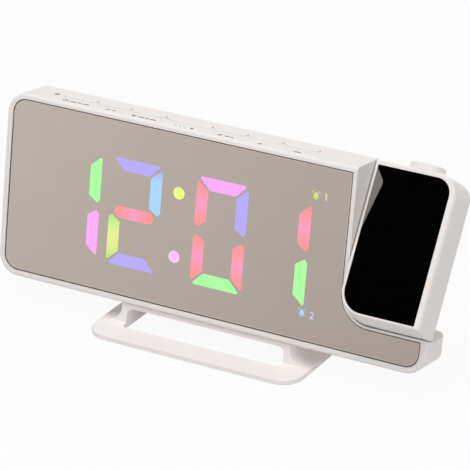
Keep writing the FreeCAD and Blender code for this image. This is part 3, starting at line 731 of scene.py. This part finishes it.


# The mirror's ground edge: a dark line, with painted shade making it darker low down, and a pale line
# inside it that is a painted highlight
mirrorEdge = {
    "left": -91.0, "right": 91.0, "bottom": 2.7, "top": 72.6,
    "notch": 57.2, "ledge": 13.6,
    "corner": 5.9, "notchCorner": 11.7, "sharp": 0.3,
    "darkWidth": 0.42,
    "paleWidth": 0.3,
    "proud": 0.02,
    "shadeHeights": (0.070, 0.082),  # metres
    "lowShade": linear(64, 54, 48),
    "highShade": linear(104, 92, 84),
    "roughness": (0.35, 0.45),
    # the pale inner line's colours are a painted highlight of the bevel
    "glint": ((206, 197, 188), (214, 206, 198), (0.30, 0.40)),
}


def roundedOutline(corners, steps=9):
    points = []
    count = len(corners)
    for i, (u, v, radius) in enumerate(corners):
        here = Vector((u, v))
        back = (Vector(corners[i - 1][:2]) - here).normalized()
        ahead = (Vector(corners[(i + 1) % count][:2]) - here).normalized()
        half = back.angle(ahead) / 2
        reach = radius / math.tan(half)
        centre = here + (back + ahead).normalized() * (radius / math.sin(half))
        first = here + back * reach - centre
        last = here + ahead * reach - centre
        sweep = first.angle_signed(last)
        for step in range(steps):
            angle = -sweep * step / (steps - 1)
            c, s = math.cos(angle), math.sin(angle)
            points.append((centre.x + first.x * c - first.y * s, centre.y + first.x * s + first.y * c))
    return points


def edgeOutline(values, inset):
    left, right = values["left"] + inset, values["right"] - inset
    bottom, top = values["bottom"] + inset, values["top"] - inset
    notch, ledge = values["notch"] - inset, values["ledge"] - inset
    corner = values["corner"] - inset
    return roundedOutline([
        (left, bottom, corner),
        (right, bottom, corner),
        (right, ledge, values["sharp"]),
        (notch, ledge, values["notchCorner"] + inset),
        (notch, top, values["sharp"]),
        (left, top, corner),
    ])


def addRing(form, outer, inner, low, high, material):
    rings = []
    for outline, depth in ((outer, low), (outer, high), (inner, high), (inner, low)):
        rings.append([form.verts.new(onMirror(u, v, depth)) for u, v in outline])
    count = len(outer)
    for k in range(4):
        first, second = rings[k], rings[(k + 1) % 4]
        for i in range(count):
            after = (i + 1) % count
            face = form.faces.new((first[i], first[after], second[after], second[i]))
            face.material_index = material


inkWear = 900.0  # per metre


# a colour that clouds between two: used for print and the smoked window, and for painted highlight and
# painted shade
def makeColourOrPaintedLight(name, dark, light, roughness):
    finish = Finish(name, {"IOR": 1.5})
    worn = noise(finish.place, inkWear, 3.0)
    finish.feed("Base Color", between(worn, linear(*dark), linear(*light)))
    finish.feed("Roughness", spread(worn, roughness))
    return finish.material


def makeGroundEdge(values):
    # darker low down, where the bevel shows the housing's shade
    finish = Finish("groundEdge", {"IOR": 1.5})
    low, high = values["shadeHeights"]
    share = ((finish.axis("Z") - low) / (high - low)).clamped()
    finish.feed("Base Color", between(share, values["lowShade"], values["highShade"]))
    finish.feed("Roughness", spread(noise(finish.place, inkWear, 3.0), values["roughness"]))
    return finish.material


def makeMirrorEdge(values):
    form = bmesh.new()
    line = values["darkWidth"]
    outlines = [edgeOutline(values, inset) for inset in (0.0, line, line + values["paleWidth"])]
    addRing(form, outlines[0], outlines[1], rooted, values["proud"], 0)
    addRing(form, outlines[1], outlines[2], rooted, values["proud"], 1)
    edgeLineAndPaintedLight = [makeGroundEdge(values), makeColourOrPaintedLight("bevelGlint", *values["glint"])]
    finishedPiece(form, "mirrorEdge", edgeLineAndPaintedLight, "clock")


makeMirrorEdge(mirrorEdge)
print("mirror edge made")


# Signs printed before the keys, generic ones: x, y on the housing's top, the sign, and the
# lengths of the dashes after it
keySigns = {
    "line": 0.34,
    "size": 2.1,
    "dash": 0.42,  # half height
    "dashGap": 0.55,
    "dots": {"pitch": 1.9, "large": (7.1, 0.72)},  # three small dots, then a large one and its radius
    "proud": 0.015,
    "ink": ((34, 32, 32), (56, 52, 52), (0.50, 0.60)),
    "rows": (
        (-69.6, 3.4, "clock", (2.9, 1.7, 2.8)),
        (-50.9, 3.6, "down", (1.5,)),
        (-38.8, 2.9, "bell", (2.6, 1.7, 2.3)),
        (-20.4, 2.9, "dots", ()),
        (-1.0, 2.9, "sun", (1.9, 1.3)),
        (16.2, 2.9, "up", ()),
        (31.5, 2.8, "lamp", ()),
    ),
}


def signShapes(sign, values):
    # one sign's outlines, in shares of half its size
    size, line = values["size"], values["line"]
    half = size / 2
    if sign == "clock":
        ring = [strokedLine(arcPoints(0, 0, half, 0, 350, 20), line)]
        return ring + [strokedLine([(0, half * 0.6), (0, 0), (half * 0.5, 0)], line)]
    if sign == "down":
        return [[(-half, half * 0.5), (0, -half * 0.6), (half, half * 0.5)]]
    if sign == "up":
        return [[(-half, -half * 0.5), (half, -half * 0.5), (0, half * 0.7)]]
    if sign == "bell":
        return bellShapes(size)
    if sign == "dots":
        place, radius = values["dots"]["large"]
        small = [discOutline(step * values["dots"]["pitch"], 0, line, 12) for step in range(3)]
        return small + [discOutline(place, 0, radius, 20)]
    if sign == "sun":
        rays = [discOutline(0, 0, half * 0.45, 16)]
        for step in range(8):
            c, s = math.cos(step * math.tau / 8), math.sin(step * math.tau / 8)
            rays.append(strokedLine([(half * 0.65 * c, half * 0.65 * s), (half * c, half * s)], line))
        return rays
    lens = strokedLine(arcPoints(0, 0, half * 0.6, 0, 350, 16), line)
    near, far = half * 0.75, half * 1.7
    beam = [(near, -half * 0.2), (far, -half * 0.7), (far, half * 0.7), (near, half * 0.2)]
    return [lens, beam]


def makeKeySigns(values):
    form = bmesh.new()
    top = housingFrame["top"]
    tall = values["dash"]
    for across, depth, sign, dashes in values["rows"]:
        shapes = signShapes(sign, values)
        along = values["size"] * 0.95
        for dash in dashes:
            shapes.append([(along, -tall), (along + dash, -tall), (along + dash, tall), (along, tall)])
            along += dash + values["dashGap"]
        for shape in shapes:
            addSlab(
                form, shape, rooted, values["proud"],
                lambda u, v, proud: standing(u + across, v + depth, top + proud),
            )
    finishedPiece(form, "keySigns", [makeColourOrPaintedLight("greyInk", *values["ink"])], "clock")


makeKeySigns(keySigns)
print("key signs made")


# The shade in the gap at each key's right end: a thin dark lining on the housing's side of it
keyGaps = {
    "rowStart": -73.3, "y": 9.7, "width": 4.4, "gap": 0.2, "spacing": 1.15,
    "lengths": (14.2, 14.2, 14.2, 19.3, 14.2, 14.2, 14.2),
    "lining": (0.02, 0.11),  # from inside the housing's wall to clear of the key
    "sweep": (-72, 84),  # degrees round the end
    "points": 14,
    "depths": (-1.0, -0.01),
    "shade": ((52, 49, 48), (68, 64, 62), (0.70, 0.80)),
}


def makeKeyGaps(values):
    form = bmesh.new()
    top = housingFrame["top"]
    low, high = values["depths"]
    radius = values["width"] / 2
    buried, shown = values["lining"]
    wall = radius + values["gap"]
    right = values["rowStart"] - values["spacing"]
    for length in values["lengths"]:
        right += values["spacing"] + length
        centre = (right - radius, values["y"])
        outline = arcPoints(*centre, wall + buried, *values["sweep"], values["points"])
        outline += arcPoints(*centre, wall - shown, *values["sweep"], values["points"])[::-1]
        addSlab(form, outline, low, high, lambda x, y, depth: standing(x, y, top + depth))
    finishedPiece(form, "keyGaps", [makeColourOrPaintedLight("gapShade", *values["shade"])], "clock")


makeKeyGaps(keyGaps)
print("key gaps made")


# The light sensor's smoked window, just inside its hole
sensorWindow = {
    "place": (-76.8, 8.7),
    "radius": 1.12,
    "below": 0.22,
    "thickness": 0.6,
    "crown": 0.12,
    "crownRings": ((1.0, 0.0), (0.8, 0.5), (0.5, 0.85)),  # shares of the radius and of the crown
    "points": 24,
    "smoked": ((38, 34, 36), (54, 50, 50), (0.12, 0.22)),
}


def makeSensorWindow(values):
    form = bmesh.new()
    across, depth = values["place"]
    top = housingFrame["top"] - values["below"]
    count = values["points"]
    rings = []
    levels = [(1.0, -values["thickness"])]
    levels += [(share, height * values["crown"]) for share, height in values["crownRings"]]
    for share, height in levels:
        outline = discOutline(across, depth, values["radius"] * share, count)
        rings.append([form.verts.new(standing(x, y, top + height)) for x, y in outline])
    for lower, upper in zip(rings, rings[1:]):
        for i in range(count):
            after = (i + 1) % count
            form.faces.new((lower[i], lower[after], upper[after], upper[i]))
    form.faces.new(rings[0])
    form.faces.new(rings[-1])
    finishedPiece(form, "sensorWindow", [makeColourOrPaintedLight("smokedWindow", *values["smoked"])], "clock")


makeSensorWindow(sensorWindow)
print("sensor window made")


# Small resistors in rows on the main board, from a Geometry Nodes tree
resistorRows = {
    "columns": 6,
    "rows": 4,
    "pitch": (3.2, 2.8),  # mm
    "part": (2.0, 1.25, 0.5),
    "middle": (-62.0, 14.4, 50.0),  # in the upright housing, on the board's front
}


def makeResistorTree(material):
    tree = bpy.data.node_groups.new("resistorRows", "GeometryNodeTree")
    tree.interface.new_socket("Geometry", in_out="OUTPUT", socket_type="NodeSocketGeometry")
    sockets = (
        ("Columns", "NodeSocketInt"), ("Rows", "NodeSocketInt"), ("Across", "NodeSocketFloat"),
        ("Up", "NodeSocketFloat"), ("Part", "NodeSocketVector"), ("Place", "NodeSocketVector"),
        ("Turn", "NodeSocketVector"),
    )
    for name, kind in sockets:
        tree.interface.new_socket(name, in_out="INPUT", socket_type=kind)
    given = tree.nodes.new("NodeGroupInput")
    grid = tree.nodes.new("GeometryNodeMeshGrid")
    cube = tree.nodes.new("GeometryNodeMeshCube")
    instances = tree.nodes.new("GeometryNodeInstanceOnPoints")
    real = tree.nodes.new("GeometryNodeRealizeInstances")
    placed = tree.nodes.new("GeometryNodeTransform")
    finished = tree.nodes.new("GeometryNodeSetMaterial")
    result = tree.nodes.new("NodeGroupOutput")
    finished.inputs["Material"].default_value = material
    for source, target in (
        (given.outputs["Across"], grid.inputs["Size X"]),
        (given.outputs["Up"], grid.inputs["Size Y"]),
        (given.outputs["Columns"], grid.inputs["Vertices X"]),
        (given.outputs["Rows"], grid.inputs["Vertices Y"]),
        (given.outputs["Part"], cube.inputs["Size"]),
        (grid.outputs["Mesh"], instances.inputs["Points"]),
        (cube.outputs["Mesh"], instances.inputs["Instance"]),
        (instances.outputs["Instances"], placed.inputs["Geometry"]),
        (given.outputs["Place"], placed.inputs["Translation"]),
        (given.outputs["Turn"], placed.inputs["Rotation"]),
        (placed.outputs["Geometry"], real.inputs["Geometry"]),
        (real.outputs["Geometry"], finished.inputs["Geometry"]),
        (finished.outputs["Geometry"], result.inputs["Geometry"]),
    ):
        tree.links.new(source, target)
    return tree


def makeResistors(values):
    material = mouldings["chipMoulding"]
    tree = makeResistorTree(material)
    across, depth, up = values["middle"]
    part = values["part"]
    inputs = {
        "Columns": values["columns"],
        "Rows": values["rows"],
        "Across": values["pitch"][0] * (values["columns"] - 1) * mm,
        "Up": values["pitch"][1] * (values["rows"] - 1) * mm,
        "Part": [side * mm for side in part],
        "Place": list(standing(across, depth - part[2] / 2, up)),
        "Turn": [math.radians(90 - housingFrame["lean"]), 0.0, 0.0],
    }
    holder = bpy.data.objects.new("resistorHolder", bpy.data.meshes.new("resistorHolder"))
    bpy.context.scene.collection.objects.link(holder)
    modifier = holder.modifiers.new("rows", "NODES")
    modifier.node_group = tree
    for item in tree.interface.items_tree:
        if item.in_out == "INPUT":
            modifier[item.identifier] = inputs[item.name]
    bpy.context.view_layer.update()
    evaluated = holder.evaluated_get(bpy.context.evaluated_depsgraph_get())
    mesh = bpy.data.meshes.new_from_object(evaluated)
    bpy.data.objects.remove(holder)
    mesh.name = "resistors"
    made = bpy.data.objects.new("resistors", mesh)
    bpy.context.scene.collection.objects.link(made)
    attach(made, "clock")


makeResistors(resistorRows)
print("resistors made")


# Studio: a pale floor, a large soft lamp in front and above, one at the right, and an even sky
studio = {
    "floor": linear(222, 222, 222),
    "floorReach": 4.0,
    "floorDrop": 0.0002,
    "floorShare": 0.93,  # how much of the floor is plain white to the camera
    "skyLevel": 0.40,
    "card": (-0.432, -0.722, 0.541),  # towards a black card that the projector's face reflects
    "cardEdge": (22, 30),  # degrees from its middle
    "aim": (0, 0, 0.04),
    "lamps": {
        "topLamp": {"place": (-0.1, -0.5, 1.6), "size": 1.3, "watts": 16.0},
        "sideLamp": {"place": (1.5, -0.9, 0.7), "size": 0.9, "watts": 5.0},
    },
}


def shownRays(tree):
    # which rays see plain white: the camera's, and those that a shiny or clear surface sends on;
    # the shiny surface's alone come second
    rays = tree.nodes.new("ShaderNodeLightPath").outputs
    camera = Flow(tree, rays["Is Camera Ray"])
    glossy = Flow(tree, rays["Is Glossy Ray"])
    through = Flow(tree, rays["Is Transmission Ray"])
    return camera.maths("MAXIMUM", glossy).maths("MAXIMUM", through), glossy


def makeFloor(values):
    form = bmesh.new()
    bmesh.ops.create_grid(form, x_segments=2, y_segments=2, size=values["floorReach"])
    for vert in form.verts:
        vert.co.z = -values["floorDrop"]
    mesh = bpy.data.meshes.new("floor")
    form.to_mesh(mesh)
    form.free()
    material = bpy.data.materials.new("paleFloor")
    material.use_nodes = True
    tree = material.node_tree
    shader = tree.nodes["Principled BSDF"]
    shader.inputs["Base Color"].default_value = values["floor"]
    shader.inputs["Roughness"].default_value = 0.9
    shader.inputs["Specular IOR Level"].default_value = 0.0
    seen = shownRays(tree)[0]
    white = tree.nodes.new("ShaderNodeEmission")
    mixed = tree.nodes.new("ShaderNodeMixShader")
    tree.links.new((seen * values["floorShare"]).socket, mixed.inputs[0])
    tree.links.new(shader.outputs[0], mixed.inputs[1])
    tree.links.new(white.outputs[0], mixed.inputs[2])
    tree.links.new(mixed.outputs[0], tree.nodes["Material Output"].inputs["Surface"])
    floor = bpy.data.objects.new("floor", mesh)
    mesh.materials.append(material)
    bpy.context.scene.collection.objects.link(floor)


def makeSky(values):
    world = bpy.data.worlds.new("studio")
    bpy.context.scene.world = world
    world.use_nodes = True
    tree = world.node_tree
    background = tree.nodes["Background"]
    background.inputs["Color"].default_value = (1, 1, 1, 1)
    seen, glossy = shownRays(tree)
    coordinates = tree.nodes.new("ShaderNodeTexCoord")
    towards = Flow(tree, coordinates.outputs["Generated"])
    facing = towards.node("ShaderNodeVectorMath", {"operation": "DOT_PRODUCT"}, {
        0: towards, 1: values["card"],
    }, output=1)
    inside, outside = (math.cos(math.radians(angle)) for angle in values["cardEdge"])
    dark = ((facing - outside) / (inside - outside)).clamped() * glossy
    level = spread(seen, (values["skyLevel"], 1.0)) * (1.0 - dark)
    tree.links.new(level.socket, background.inputs["Strength"])


def makeLamp(name, values, target):
    data = bpy.data.lights.new(name, "AREA")
    data.shape = "DISK"
    data.size = values["size"]
    data.energy = values["watts"]
    lamp = bpy.data.objects.new(name, data)
    bpy.context.scene.collection.objects.link(lamp)
    place = Vector(values["place"])
    aim = Vector(target) - place
    lamp.matrix_world = Matrix.Translation(place) @ aim.to_track_quat("-Z", "Y").to_matrix().to_4x4()
    lamp.visible_glossy = False


makeFloor(studio)
makeSky(studio)
for name, lampValues in studio["lamps"].items():
    makeLamp(name, lampValues, studio["aim"])
bpy.context.scene.view_settings.view_transform = "Standard"
print("studio made")
